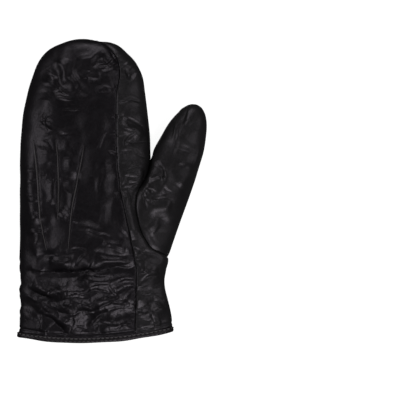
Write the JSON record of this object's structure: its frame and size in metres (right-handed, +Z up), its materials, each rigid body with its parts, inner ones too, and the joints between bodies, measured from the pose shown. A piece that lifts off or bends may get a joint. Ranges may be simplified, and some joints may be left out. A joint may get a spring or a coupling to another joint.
{
  "type": "leather mitten",
  "caption": "Padded leather mitten for the left hand with a set-in thumb, a rolled hem and stitched points on its back, lying flat with the palm down.",
  "frame": {"origin": "on the surface the mitten lies on, under the middle of its outline seen from above", "axes": "+Y from the cuff to the finger tips, +X towards the thumb, +Z up through the back of the hand"},
  "size_m": [0.1628, 0.2598, 0.0364],
  "materials": {
    "back_leather": "soft black nappa leather, semi-gloss, creased",
    "palm_leather": "soft black nappa leather, satin, creased",
    "hem_leather": "soft black nappa leather, rolled and stitched"
  },
  "bodies": {
    "root": {"back_panel": "back_leather", "palm_panel": "palm_leather", "thumb": "palm_leather", "cuff_hem": "hem_leather", "point_outer": "back_leather", "point_middle": "back_leather", "point_inner": "back_leather"}
  },
  "joints": []
}
